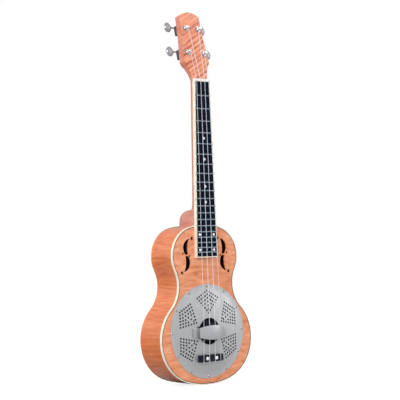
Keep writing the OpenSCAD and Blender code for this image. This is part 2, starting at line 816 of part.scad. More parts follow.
module string(i) {
    r = string_rs[i];
    x = string_x(i, -1);
    over_z = tie_z + bend_share * r + fit;
    behind_y = tie_y - tie_half_w - 2 * r;
    points = [saddle_point(i), [x, tie_y + tie_half_w + r, over_z], [x, behind_y, over_z],
        [x, behind_y, tie_z - tie_recess], tie_hole(i)];
    color(nylon) {
        upright() {
            string_span(i, r);
            for (k = [1:len(points) - 1]) rod(points[k - 1], points[k], r);
            for (k = [0:len(points) - 2]) translate(points[k]) sphere(bend_share * r, $fn = 24);
        }
        at_tuner(i) translate([0, 0, wind_z - 3 * r]) difference() {
            cylinder(h = 6 * r, r = wind_r + 2 * r);
            translate([0, 0, -eps]) cylinder(h = 7 * r, r = wind_r);
        }
    }
}

// Tuners ------------------------------------------------------------------------------------

// A closed gear case with a pocket for the gear and worm, and a screw tab below it.
module tuner_housing() {
    low = [-house_half, -6.6, house_z];
    high = [house_half, worm_offset + 3.8, -head_t - fit];
    worm_room = worm_mid_r + worm_ecc + 0.3;
    worm_half = worm_len / 2 + 0.3;
    difference() {
        union() {
            translate(low) cube(high - low);
            translate([0, screw_y, -head_t - tab_t]) cylinder(h = tab_t - fit, r = tab_r);
            translate([-tab_r, screw_y, -head_t - tab_t])
                cube([2 * tab_r, low[1] + 1 - screw_y, tab_t - fit]);
        }
        translate([0, 0, gear_z - 2.5]) cylinder(h = far, r = gear_tip_r + 0.5);
        translate([0, 0, pin_z - 0.1]) cylinder(h = far, r = pin_r + run);
        translate([0, worm_offset, gear_z]) {
            along_x() cylinder(h = 2 * worm_half, r = worm_room, center = true);
            translate([-worm_half, -worm_room, 0]) cube([2 * worm_half, 2 * worm_room, far]);
            translate([shaft_x - 0.3, 0, 0]) along_x() cylinder(h = far, r = shaft_r + run);
        }
        translate([0, screw_y, -head_t]) cylinder(h = 4 * tab_t, r = screw_r + 0.3, center = true);
    }
}

module tuner_housings() {
    color(chrome) for (i = [0:3]) at_tuner(i) tuner_housing();
}

module tuner_bushings() {
    color(chrome) for (i = [0:3]) at_tuner(i) difference() {
        union() {
            translate([0, 0, washer_t + fit]) cylinder(h = hex_t, r = hex_r, $fn = 6);
            translate([0, 0, -head_t + 1]) cylinder(h = head_t + washer_t, r = barrel_r);
        }
        translate([0, 0, -head_t]) cylinder(h = 2 * head_t, r = post_r + run);
    }
}

module tuner_washers() {
    color(chrome) for (i = [0:3]) at_tuner(i) difference() {
        translate([0, 0, fit]) cylinder(h = washer_t - fit, r = washer_r);
        cylinder(h = 2 * washer_t, r = barrel_r + run);
    }
}

module tuner_screws() {
    head_h = 1.1;
    color(chrome) for (i = [0:3]) at_tuner(i) translate([0, screw_y, -head_t - tab_t]) {
        translate([0, 0, -head_h / 2]) cylinder(h = 9, r = screw_r);
        translate([0, 0, -head_h]) cylinder(h = head_h - fit, r = 1.9);
    }
}

// A stepped post: string waist above the face, a seat for the gear and a pin in the housing.
module tuner_post(i) {
    edge = 0.6;     // chamfer at the tip
    string_hole_r = 0.7;
    profile = [[pin_r, pin_z], [pin_r, gear_z - gear_t / 2], [waist_post_r, gear_z - gear_t / 2],
        [waist_post_r, gear_z + gear_t / 2], [post_r, gear_z + gear_t / 2], [post_r, wind_z - wind_half],
        [waist_post_r, wind_z - wind_half], [waist_post_r, wind_z + wind_half], [post_r, wind_z + wind_half],
        [post_r, post_tip_z - edge], [post_r - edge, post_tip_z]];
    color(chrome) at_tuner(i) difference() {
        rotate_extrude() polygon(concat([[0, pin_z]], profile, [[0, post_tip_z]]));
        translate([0, 0, wind_z]) along_x() cylinder(h = 4 * post_r, r = string_hole_r, center = true);
    }
}

// A spur gear whose teeth are thinned to leave backlash against the worm.
module tuner_gear(i) {
    tooth = 360 / gear_teeth;
    root = 0.18;    // half widths of a tooth, as shares of its pitch
    tip = 0.08;
    flanks = [[-root, gear_root_r], [-tip, gear_tip_r], [tip, gear_tip_r], [root, gear_root_r]];
    color(nickel) at_tuner(i) translate([0, 0, gear_z - gear_t / 2]) linear_extrude(gear_t - fit)
        difference() {
            polygon([for (k = [0:gear_teeth - 1], e = flanks) let (a = 90 + (k + e[0]) * tooth)
                e[1] * [cos(a), sin(a)]]);
            circle(gear_bore_r);
        }
}

// The worm: an eccentric round section twisted along its shaft makes one rounded thread.
module tuner_worm(i) {
    color(chrome) at_tuner(i) translate([0, worm_offset, gear_z]) along_x() {
        linear_extrude(worm_len, center = true, twist = 360 * worm_turns, slices = 48, $fn = 14)
            translate([0, worm_ecc]) circle(worm_mid_r);
        translate([0, 0, shaft_x]) cylinder(h = button_x + 1 - shaft_x, r = shaft_r);
    }
}

// An oval button, flattened front to back, with a neck where the shaft enters.
module tuner_button(i) {
    color(chrome) at_tuner(i) translate([button_x, worm_offset, gear_z]) difference() {
        union() {
            resize([button_w, button_len, button_t]) sphere(button_w / 2, $fn = 32);
            translate([-button_w / 2 - 1, 0, 0]) along_x() cylinder(h = 5, r = 2.2);
        }
        translate([1.1, 0, 0]) mirror([1, 0, 0]) along_x() cylinder(h = far, r = shaft_r + fit);
        along_x() cylinder(h = far, r = button_screw_r + fit);
        translate([button_w / 2 - 1, 0, 0]) along_x() cylinder(h = far, r = button_screw_head_r + fit);
    }
}

module button_screw(i) {
    head_x = button_x + button_w / 2 - 1 + fit;
    color(chrome) at_tuner(i) translate([head_x, worm_offset, gear_z]) along_x() {
        cylinder(h = 0.8, r = button_screw_head_r);
        translate([0, 0, -3.5]) cylinder(h = 4, r = button_screw_r);
    }
}

// Drawing -----------------------------------------------------------------------------------

soundboard();
back();
side(-1);  // side_bass
side(1);  // side_treble
front_binding();
front_purfling();
lining(top_z - lining_h, top_z);  // front_lining
lining(back_t, back_t + back_lining_h);  // back_lining
neck_block();
tail_block();
back_braces();
soundwell();
cover_plate();
cover_plate_screws();
hand_rest();
cone();
biscuit();
biscuit_screw();
saddle();
tie_block();
tie_block_bolts();
tie_block_nuts();
tie_block_dots();
neck();
neck_bolts();
headstock_veneer();
fingerboard();
fingerboard_binding();
frets();
nut();
face_markers();
side_markers();
string(0);  // string_1
string(1);  // string_2
string(2);  // string_3
string(3);  // string_4
tuner_housings();
tuner_bushings();
tuner_washers();
tuner_screws();
tuner_post(0);  // tuner_post_1
tuner_post(1);  // tuner_post_2
tuner_post(2);  // tuner_post_3
tuner_post(3);  // tuner_post_4
tuner_gear(0);  // tuner_gear_1
tuner_gear(1);  // tuner_gear_2
tuner_gear(2);  // tuner_gear_3
tuner_gear(3);  // tuner_gear_4
tuner_worm(0);  // tuner_worm_1
tuner_worm(1);  // tuner_worm_2
tuner_worm(2);  // tuner_worm_3
tuner_worm(3);  // tuner_worm_4
tuner_button(0);  // tuner_button_1
tuner_button(1);  // tuner_button_2
tuner_button(2);  // tuner_button_3
tuner_button(3);  // tuner_button_4
button_screw(0);  // button_screw_1
button_screw(1);  // button_screw_2
button_screw(2);  // button_screw_3
button_screw(3);  // button_screw_4
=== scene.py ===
# Looks of the resonator ukulele: materials, string windings, light and camera round the CAD frame.
import json
import math

import bpy
import bmesh
from mathutils import Matrix, Vector


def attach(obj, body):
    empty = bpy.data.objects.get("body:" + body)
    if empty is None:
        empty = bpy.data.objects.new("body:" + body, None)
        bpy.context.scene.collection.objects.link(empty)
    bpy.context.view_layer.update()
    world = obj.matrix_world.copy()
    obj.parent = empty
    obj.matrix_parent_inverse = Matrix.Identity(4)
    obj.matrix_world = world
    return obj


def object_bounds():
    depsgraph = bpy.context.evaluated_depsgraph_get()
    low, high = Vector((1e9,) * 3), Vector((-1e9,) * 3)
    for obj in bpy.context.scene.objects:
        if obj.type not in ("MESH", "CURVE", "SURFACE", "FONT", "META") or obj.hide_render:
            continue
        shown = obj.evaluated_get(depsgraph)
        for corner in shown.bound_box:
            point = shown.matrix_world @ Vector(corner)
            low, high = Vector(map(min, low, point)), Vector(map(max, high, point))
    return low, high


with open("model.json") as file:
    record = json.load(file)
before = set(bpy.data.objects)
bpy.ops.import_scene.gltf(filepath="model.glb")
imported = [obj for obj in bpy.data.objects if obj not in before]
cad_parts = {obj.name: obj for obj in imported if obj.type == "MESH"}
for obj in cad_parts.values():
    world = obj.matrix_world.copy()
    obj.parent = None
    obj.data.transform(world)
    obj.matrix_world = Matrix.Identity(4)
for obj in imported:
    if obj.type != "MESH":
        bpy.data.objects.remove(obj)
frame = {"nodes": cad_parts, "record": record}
cad_low, cad_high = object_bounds()

MM = 0.001


# ---------------------------------------------------------------- node graph helpers

class Graph:
    """Builds one material's node graph; each method adds a node and returns its main output."""

    def __init__(self, name):
        self.material = bpy.data.materials.new(name)
        self.material.use_nodes = True
        self.tree = self.material.node_tree
        self.tree.nodes.clear()
        self.output = self.tree.nodes.new("ShaderNodeOutputMaterial")
        self.surface = self.tree.nodes.new("ShaderNodeBsdfPrincipled")
        self.tree.links.new(self.surface.outputs[0], self.output.inputs["Surface"])

    def feed(self, socket, value):
        """Links value to a socket if it is an output, or sets it if it is a plain value."""
        if isinstance(value, bpy.types.NodeSocket):
            self.tree.links.new(value, socket)
        elif isinstance(value, (tuple, list)) and socket.type == "RGBA":
            socket.default_value = (*value[:3], 1.0)
        else:
            socket.default_value = value

    def set(self, **inputs):
        """Sets inputs of the principled surface; an underscore stands for a space."""
        for name, value in inputs.items():
            self.feed(self.surface.inputs[name.replace("_", " ")], value)
        return self

    def place(self):
        """The point's place in the row frame, in metres."""
        return self.tree.nodes.new("ShaderNodeTexCoord").outputs["Object"]

    def normal(self):
        """The surface's direction in the row frame, as three parts."""
        return self.split(self.tree.nodes.new("ShaderNodeNewGeometry").outputs["Normal"])

    def stretch(self, vector, scale):
        """The point whose coordinates are vector's, each times its own scale."""
        n = self.tree.nodes.new("ShaderNodeMapping")
        n.inputs["Scale"].default_value = scale
        self.feed(n.inputs["Vector"], vector)
        return n.outputs[0]

    def split(self, vector):
        n = self.tree.nodes.new("ShaderNodeSeparateXYZ")
        self.feed(n.inputs[0], vector)
        return n.outputs

    def join(self, x, y, z):
        n = self.tree.nodes.new("ShaderNodeCombineXYZ")
        for socket, value in zip(n.inputs, (x, y, z)):
            self.feed(socket, value)
        return n.outputs[0]

    def noise(self, vector, scale=1.0, detail=3.0, rough=0.5, twist=0.0):
        n = self.tree.nodes.new("ShaderNodeTexNoise")
        self.feed(n.inputs["Vector"], vector)
        n.inputs["Scale"].default_value = scale
        n.inputs["Detail"].default_value = detail
        n.inputs["Roughness"].default_value = rough
        n.inputs["Distortion"].default_value = twist
        return n.outputs["Fac"]

    def from_axis(self):
        """Distance from the resonator's axis, in metres."""
        x, y, z = self.split(self.place())
        squares = self.math("ADD", self.math("MULTIPLY", x, x), self.math("MULTIPLY", z, z))
        return self.math("SQRT", squares)

    def math(self, kind, a, b=0.0):
        n = self.tree.nodes.new("ShaderNodeMath")
        n.operation = kind
        self.feed(n.inputs[0], a)
        self.feed(n.inputs[1], b)
        return n.outputs[0]

    def ramp(self, value, stops):
        """stops is a list of (place from 0 to 1, colour or plain level)."""
        n = self.tree.nodes.new("ShaderNodeValToRGB")
        n.color_ramp.interpolation = "EASE"
        while len(n.color_ramp.elements) < len(stops):
            n.color_ramp.elements.new(0.5)
        for element, (at, colour) in zip(n.color_ramp.elements, stops):
            shades = colour if isinstance(colour, (tuple, list)) else (colour,) * 3
            element.position = at
            element.color = (*shades, 1.0)
        self.feed(n.inputs[0], value)
        return n.outputs[0]

    def mix(self, share, a, b, kind="MIX"):
        n = self.tree.nodes.new("ShaderNodeMix")
        n.data_type = "RGBA"
        n.blend_type = kind
        self.feed(n.inputs[0], share)
        self.feed(n.inputs[6], a)
        self.feed(n.inputs[7], b)
        return n.outputs[2]

    def bump(self, height, depth, strength=1.0):
        """depth is how tall a height of 1 stands, in metres."""
        n = self.tree.nodes.new("ShaderNodeBump")
        n.inputs["Strength"].default_value = strength
        n.inputs["Distance"].default_value = depth
        self.feed(n.inputs["Height"], height)
        return n.outputs[0]


# ---------------------------------------------------------------- materials

TOP_TONES = ((0.66, 0.190, 0.072), (0.89, 0.330, 0.152), (0.98, 0.470, 0.262))
SIDE_TONES = ((0.58, 0.120, 0.016), (0.76, 0.190, 0.040), (0.88, 0.280, 0.085))
NECK_TONES = ((0.52, 0.170, 0.105), (0.68, 0.265, 0.185), (0.78, 0.350, 0.262))
HEAD_TONES = ((0.46, 0.080, 0.030), (0.86, 0.290, 0.140), (0.95, 0.410, 0.240))
# painted shade: the near-black brown laid on the inner faces of the body's wood, for the shade inside the
# body
INSIDE_PAINTED_SHADE = (0.060, 0.028, 0.014)
WHITE = (1.0, 1.0, 1.0)
UPPER_BOUT_Z = 0.130                    # height of the upper bout's middle above the resonator's axis
SIDES_MIDDLE_Z = 0.04                   # the point that the sides' flames are laid out about
SIDES_MEAN_R = 0.115                    # the sides' usual distance from it
HOLES_IN, HOLES_OUT = 0.0285, 0.0735    # the ring of the cover plate that holds the sound holes
FULL_COAT = 0.9                         # how much of the wood's finish is clear lacquer


def flamed_maple(tones, along, across, pitch, reach, depth, inside=None, wander=0.02, bands=None,
                 fine_share=0.35, shade=None):
    """Lacquered curly maple. along and across are coordinates in metres, across lying along the flames;
    pitch and reach are a flame's usual width and length, and depth its contrast.
    tones are the dark, middle and light colours. inside is 1 on the inner faces, which are bare of lacquer
    and painted near black as painted shade, since little light reaches them.
    bands adds an even ripple: its spacing in metres and its strength.
    fine_share is how much of the figure is small curls, and shade is a colour laid over it all: painted
    shade on the sides, a warmer tone on the neck."""
    g = along.graph
    across, along = across.value, along.value
    cloud = g.noise(g.join(across, along, 0.0), scale=22.0, detail=2.0)
    drift = g.math("ADD", along, g.math("MULTIPLY", cloud, wander))
    flame = g.noise(g.join(g.math("DIVIDE", across, reach), g.math("DIVIDE", drift, pitch), 0.0),
                    detail=3.0, rough=0.58, twist=0.25)
    fine = g.noise(g.join(g.math("DIVIDE", across, reach * 0.4), g.math("DIVIDE", drift, pitch * 0.3), 3.0),
                   detail=3.0, rough=0.6)
    grain = g.noise(g.join(g.math("MULTIPLY", across, 1500.0), g.math("MULTIPLY", along, 28.0), 1.0),
                    detail=3.0, rough=0.6)
    figure = g.math("ADD", g.math("MULTIPLY", flame, 1.0 - fine_share),
                    g.math("MULTIPLY", fine, fine_share))
    if bands is not None:
        spacing, strength = bands
        wave = g.math("SINE", g.math("MULTIPLY", drift, 2.0 * math.pi / spacing))
        figure = g.math("ADD", figure, g.math("MULTIPLY", wave, strength))
    dark, middle, light = tones
    colour = g.ramp(figure, [(0.5 - depth, dark), (0.5, middle), (0.5 + depth, light)])
    blush = g.ramp(cloud, [(0.35, (0.86, 0.70, 0.58)), (0.62, WHITE)])
    colour = g.mix(0.5, colour, blush, "MULTIPLY")
    streak = g.ramp(grain, [(0.3, (0.80, 0.72, 0.66)), (0.55, WHITE)])
    colour = g.mix(0.35, colour, streak, "MULTIPLY")
    if shade is not None:
        colour = g.mix(1.0, colour, shade, "MULTIPLY")
    coat = FULL_COAT
    if inside is not None:
        # painted shade: the inner faces take the near-black brown; they also carry no lacquer
        colour = g.mix(inside, colour, INSIDE_PAINTED_SHADE)
        coat = g.math("MULTIPLY", g.math("SUBTRACT", 1.0, inside), FULL_COAT)
    ripple = g.noise(g.place(), scale=140.0, detail=1.0)
    g.set(Base_Color=colour, Roughness=g.ramp(figure, [(0.3, 0.52), (0.7, 0.38)]),
          Normal=g.bump(grain, 0.00002, 0.4), Coat_Weight=coat, Coat_Roughness=0.05, Coat_IOR=1.5,
          Coat_Normal=g.bump(ripple, 0.00004, 0.25))
    return g.material


class Axis:
    """A coordinate of a graph, kept with its graph."""

    def __init__(self, graph, value):
        self.graph = graph
        self.value = value


def face_maple(name, facing):
    """The soundboard (facing -1) and the back (facing 1): flames across the body; the inner side is bare of
    lacquer and painted near black as painted shade.
    """
    g = Graph(name)
    x, y, z = g.split(g.place())
    inside = g.math("LESS_THAN", g.math("MULTIPLY", g.normal()[1], facing), -0.5)
    return flamed_maple(TOP_TONES, Axis(g, z), Axis(g, x), pitch=0.0062, reach=0.034, depth=0.18,
                        inside=inside, fine_share=0.22)


def side_maple(name):
    """The bent sides: their flames run from front to back, and their inner side is bare of lacquer and
    painted near black as painted shade.
    Painted shade darkens the colour and makes it more orange a little below the resonator's axis, where the
    sides turn down, away from the light from above."""
    g = Graph(name)
    x, y, z = g.split(g.place())
    middle = g.math("MINIMUM", g.math("MAXIMUM", z, 0.0), UPPER_BOUT_Z)
    rise = g.math("SUBTRACT", z, middle)
    nx, ny, nz = g.normal()
    outward = g.math("ADD", g.math("MULTIPLY", nx, x), g.math("MULTIPLY", nz, rise))
    inside = g.math("LESS_THAN", outward, 0.0)
    turn = g.math("ARCTAN2", x, g.math("SUBTRACT", z, SIDES_MIDDLE_Z))
    around = g.math("MULTIPLY", turn, SIDES_MEAN_R)
    below, span = 0.11, 0.2             # the shading starts this far below the axis, and is this tall
    # painted shade: a height ramp darkens the sides, strongest a little below the axis and milder at the
    # very bottom
    height = g.math("MULTIPLY", g.math("ADD", z, below), 1.0 / span)
    shade = g.ramp(height, [(0.0, (1.0, 0.95, 0.90)), (0.36, (0.88, 0.76, 0.42)), (0.85, WHITE)])
    return flamed_maple(SIDE_TONES, Axis(g, around), Axis(g, y), pitch=0.0040, reach=0.060, depth=0.15,
                        inside=inside, wander=0.006, shade=shade)


def neck_maple(name):
    """The neck, whose finish warms towards the headstock."""
    g = Graph(name)
    x, y, z = g.split(g.place())
    across = g.math("ADD", x, g.math("MULTIPLY", y, 0.8))
    start, span = 0.36, 0.125           # the warming starts at this height, and is this tall
    up_neck = g.math("MULTIPLY", g.math("SUBTRACT", z, start), 1.0 / span)
    shade = g.ramp(up_neck, [(0.0, WHITE), (0.8, (1.0, 0.82, 0.68))])
    return flamed_maple(NECK_TONES, Axis(g, z), Axis(g, across), pitch=0.010, reach=0.050, depth=0.24,
                        shade=shade)


def head_maple(name):
    """The headstock's veneer, with bold flames that rise to the treble side."""
    g = Graph(name)
    x, y, z = g.split(g.place())
    slope = 0.62
    slant = g.math("SUBTRACT", z, g.math("MULTIPLY", x, slope))
    return flamed_maple(HEAD_TONES, Axis(g, slant), Axis(g, x), pitch=0.0062, reach=0.050, depth=0.14,
                        wander=0.012, bands=(0.0085, 0.06))


def spruce(name):
    """The sawn wood inside the body, its colour painted very dark brown as painted shade for the deep shade
    in there.
    """
    g = Graph(name)
    grain = g.noise(g.stretch(g.place(), (700, 700, 14)), detail=3.0)
    # painted shade: very dark browns stand for the shade inside the body
    colour = g.ramp(grain, [(0.35, (0.060, 0.032, 0.016)), (0.6, (0.120, 0.070, 0.036))])
    g.set(Base_Color=colour, Roughness=0.75, Normal=g.bump(grain, 0.00005))
    return g.material


def celluloid(name, colour, deep):
    """Polished plastic with a faint cloud of the deeper colour in it."""
    g = Graph(name)
    cloud = g.noise(g.place(), scale=90.0, detail=3.0)
    fine = g.noise(g.place(), scale=1800.0, detail=2.0)
    g.set(Base_Color=g.ramp(cloud, [(0.3, deep), (0.62, colour)]),
          Roughness=g.ramp(fine, [(0.3, 0.25), (0.7, 0.35)]), Subsurface_Weight=0.08,
          Subsurface_Scale=0.002, Coat_Weight=0.4, Coat_Roughness=0.1)
    return g.material


def pearl(name):
    """White shell with faint bluish and pinkish bands."""
    g = Graph(name)
    fold = g.noise(g.place(), scale=420.0, detail=2.0, twist=1.5)
    colour = g.ramp(fold, [(0.3, (0.80, 0.86, 0.88)), (0.5, (0.97, 0.96, 0.94)), (0.7, (0.93, 0.90, 0.95))])
    g.set(Base_Color=colour, Roughness=0.22, Coat_Weight=0.6, Coat_Roughness=0.05, Sheen_Weight=0.2)
    return g.material


def ebony(name, shine=0.2, rough=0.34, tint=WHITE):
    """Black wood with fine pores; tint colours its reflections."""
    g = Graph(name)
    grain = g.noise(g.stretch(g.place(), (1300, 1300, 22)), detail=4.0, rough=0.62)
    broad = g.noise(g.stretch(g.place(), (160, 160, 6)), detail=2.0)
    colour = g.mix(broad, g.ramp(grain, [(0.35, (0.0015, 0.004, 0.011)), (0.7, (0.005, 0.011, 0.026))]),
                   g.ramp(grain, [(0.35, (0.002, 0.006, 0.016)), (0.7, (0.007, 0.015, 0.034))]))
    g.set(Base_Color=colour, Roughness=g.ramp(grain, [(0.3, rough + 0.16), (0.7, rough)]),
          Normal=g.bump(grain, 0.00004, 0.6), Specular_IOR_Level=shine, Specular_Tint=tint)
    return g.material


def satin_nickel(name, pierced=False, rough=0.36, level=1.0):
    """Bead-blasted nickel plate: fine speckle and faint swirls from polishing. level scales its brightness.
    pierced darkens the walls of the sound holes, which no light reaches."""
    g = Graph(name)
    speck = g.noise(g.place(), scale=2600.0, detail=2.0)
    swirl = g.noise(g.stretch(g.place(), (30, 30, 30)), detail=4.0, twist=1.2)
    tone = g.ramp(swirl, [(0.3, (0.63 * level, 0.64 * level, 0.65 * level)),
                          (0.7, (0.68 * level, 0.685 * level, 0.69 * level))])
    colour = g.mix(0.25, tone, g.ramp(speck, [(0.35, 0.78), (0.65, 1.0)]), "MULTIPLY")
    if pierced:
        radius = g.from_axis()
        wall = g.math("LESS_THAN", g.math("ABSOLUTE", g.normal()[1]), 0.6)
        among_holes = g.math("MULTIPLY", g.math("GREATER_THAN", radius, HOLES_IN),
                             g.math("LESS_THAN", radius, HOLES_OUT))
        colour = g.mix(g.math("MULTIPLY", wall, among_holes), colour, (0.01, 0.01, 0.011))
    g.set(Base_Color=colour, Metallic=0.75, Roughness=g.ramp(swirl, [(0.3, rough + 0.1), (0.7, rough)]),
          Normal=g.bump(speck, 0.00001, 0.5))
    return g.material


def brushed_nickel(name):
    """The hand rest: brushed along its length, with painted shade: its steep legs are painted darker than
    the crown, standing for the darker reflections they catch.
    """
    g = Graph(name)
    brush = g.noise(g.stretch(g.place(), (60, 0, 2500)), detail=2.0)
    # painted shade: the more a face turns to the side, the darker its colour, so the legs come out darker
    # than the crown
    legs = g.math("ABSOLUTE", g.normal()[0])
    tone = g.ramp(legs, [(0.45, (0.58, 0.595, 0.61)), (0.80, (0.27, 0.29, 0.27))])
    colour = g.mix(0.12, tone, g.ramp(brush, [(0.35, 0.80), (0.65, 1.0)]), "MULTIPLY")
    g.set(Base_Color=colour, Metallic=0.6, Roughness=g.ramp(brush, [(0.3, 0.44), (0.7, 0.38)]))
    return g.material


def bright_metal(name, colour, rough, metallic=1.0):
    """Plated or polished metal with faint smears of handling, where it is rougher by wear."""
    wear = 0.04
    g = Graph(name)
    smear = g.noise(g.place(), scale=260.0, detail=3.0, twist=0.8)
    dark = tuple(c * 0.82 for c in colour)
    g.set(Base_Color=g.ramp(smear, [(0.3, dark), (0.6, colour)]), Metallic=metallic,
          Roughness=g.ramp(smear, [(0.35, rough + wear), (0.6, rough)]))
    return g.material


def spun_metal(name):
    """Aluminium with turning rings about the resonator's axis, painted near black as painted shade for the
    dark inside of the body.
    """
    g = Graph(name)
    rings = g.noise(g.join(g.math("MULTIPLY", g.from_axis(), 3000.0), 0.0, 0.0), detail=2.0)
    # painted shade: the aluminium's colour is near black for the shade under the cover plate
    g.set(Base_Color=g.ramp(rings, [(0.3, (0.045, 0.048, 0.050)), (0.7, (0.090, 0.095, 0.095))]),
          Metallic=0.9, Roughness=0.42, Normal=g.bump(rings, 0.00003))
    return g.material


def nylon(name):
    """Half-clear string, with fine lines along its length."""
    g = Graph(name)
    draw = g.noise(g.stretch(g.place(), (4000, 4000, 60)), detail=2.0)
    g.set(Base_Color=g.ramp(draw, [(0.3, (0.80, 0.78, 0.84)), (0.7, (0.95, 0.93, 0.97))]),
          Roughness=0.28, Transmission_Weight=0.25, IOR=1.5, Coat_Weight=0.3)
    return g.material


def bone(name):
    """Polished bone with pores along its length."""
    g = Graph(name)
    pores = g.noise(g.stretch(g.place(), (300, 2400, 2400)), detail=3.0)
    g.set(Base_Color=g.ramp(pores, [(0.3, (0.78, 0.72, 0.60)), (0.6, (0.93, 0.90, 0.82))]), Roughness=0.35,
          Subsurface_Weight=0.1, Subsurface_Scale=0.001, Normal=g.bump(pores, 0.00001))
    return g.material


CREAM = (0.95, 0.87, 0.72)
CREAM_DEEP = (0.88, 0.77, 0.57)
CHROME = (0.80, 0.81, 0.83)
NICKEL_SILVER = (0.42, 0.51, 0.61)

MATERIALS = {
    "maple_top": face_maple("maple_top", -1.0),
    "maple_back": face_maple("maple_back", 1.0),
    "maple_side": side_maple("maple_side"),
    "maple_neck": neck_maple("maple_neck"),
    "maple_head": head_maple("maple_head"),
    "cream": celluloid("cream", CREAM, CREAM_DEEP),
    "black": celluloid("black", (0.02, 0.02, 0.022), (0.01, 0.01, 0.012)),
    "spruce": spruce("spruce_wood"),
    "nickel": brushed_nickel("brushed_nickel"),
    "plate": satin_nickel("pierced_nickel", pierced=True),
    "cone": spun_metal("spun_metal"),
    "ebony": ebony("ebony_wood"),
    "board": ebony("board_wood", 0.06, 0.50, (0.55, 0.80, 1.0)),
    "pearl": pearl("pearl_inlay"),
    "bone": bone("bone_nut"),
    "fret": bright_metal("fret_metal", NICKEL_SILVER, 0.3),
    "nylon": nylon("nylon_string"),
    "steel": bright_metal("screw_metal", (0.60, 0.61, 0.63), 0.25),
    "rim_screw": satin_nickel("rim_screw_metal", rough=0.26, level=0.75),
    "button": bright_metal("button_metal", (0.46, 0.47, 0.51), 0.14, metallic=0.55),
    "shaft": bright_metal("shaft_metal", (0.22, 0.32, 0.38), 0.30, metallic=0.2),
    "chrome": bright_metal("chrome_metal", CHROME, 0.07),
    # painted shade: the tuner housings' dark slate colour stands for the shade and dark reflections they sit
    # in
    "gear_case": bright_metal("gear_case_metal", (0.075, 0.105, 0.125), 0.30, metallic=0.8),
}

NODE_MATERIALS = {
    "maple_top": ["soundboard"],
    "maple_back": ["back"],
    "maple_neck": ["neck"],
    "maple_side": ["side_bass", "side_treble"],
    "maple_head": ["headstock_veneer"],
    "cream": ["front_binding", "fingerboard_binding"],
    "black": ["front_purfling", "side_markers"],
    "spruce": ["front_lining", "back_lining", "neck_block", "tail_block", "back_braces", "soundwell"],
    "nickel": ["hand_rest"],
    "plate": ["cover_plate"],
    "rim_screw": ["cover_plate_screws"],
    "button": ["tuner_button_1", "tuner_button_2", "tuner_button_3", "tuner_button_4"],
    "shaft": ["tuner_worm_1", "tuner_worm_2", "tuner_worm_3", "tuner_worm_4"],
    "cone": ["cone"],
    "ebony": ["biscuit", "saddle", "tie_block"],
    "board": ["fingerboard"],
    "pearl": ["tie_block_dots", "face_markers"],
    "bone": ["nut"],
    "fret": ["frets"],
    "steel": ["biscuit_screw", "tie_block_bolts", "tie_block_nuts", "neck_bolts", "tuner_screws"],
    "gear_case": ["tuner_housings"],
    "nylon": ["string_1", "string_2", "string_3", "string_4"],
}


# ---------------------------------------------------------------- CAD nodes

CREASE = math.radians(32.0)             # a sharper edge than this stays sharp, or is rounded
SAME_POINT = 0.000002                   # points closer than this, in metres, are joined


def finish_node(node, material, bevel=0.0):
    """Gives a CAD node its material, joins its split faces, rounds its edges and shades it smooth.
    bevel is the rounding's width in millimetres."""
    o = frame["nodes"][node]
    o.data.materials.clear()
    o.data.materials.append(MATERIALS[material])
    if "custom_normal" in o.data.attributes:
        o.data.attributes.remove(o.data.attributes["custom_normal"])
    o.data.polygons.foreach_set("use_smooth", [True] * len(o.data.polygons))
    if "sharp_edge" in o.data.attributes:
        o.data.attributes.remove(o.data.attributes["sharp_edge"])
    weld = o.modifiers.new("weld", "WELD")
    weld.merge_threshold = SAME_POINT
    if bevel:
        rounding = o.modifiers.new("rounding", "BEVEL")
        rounding.width = bevel * MM
        rounding.segments = 2
        rounding.limit_method = "ANGLE"
        rounding.angle_limit = CREASE
    split = o.modifiers.new("split", "EDGE_SPLIT")
    split.split_angle = CREASE


BEVELS = {"hand_rest": 0.25, "tie_block": 0.4, "tuner_housings": 0.6, "nut": 0.2}

placed = {node: material for material, nodes in NODE_MATERIALS.items() for node in nodes}
for node in frame["nodes"]:
    finish_node(node, placed.get(node, "chrome"), BEVELS.get(node, 0.0))


# ---------------------------------------------------------------- string windings

# Lengths here are in millimetres.
STRING_R = (0.38, 0.50, 0.46, 0.36)     # bass to treble
WINDINGS_UP = 24.2                      # from a post joint's place to the middle of its windings
WAIST_R = 2.5                           # radius that the string is wound on
COILS = 2.9
COILS_TALL = 4.0                        # height of all the coils together, in string radii
COIL_STEPS = 120
TUBE_SIDES = 10
TUBE_SWELL = 1.08                       # the coils are this much thicker than the string


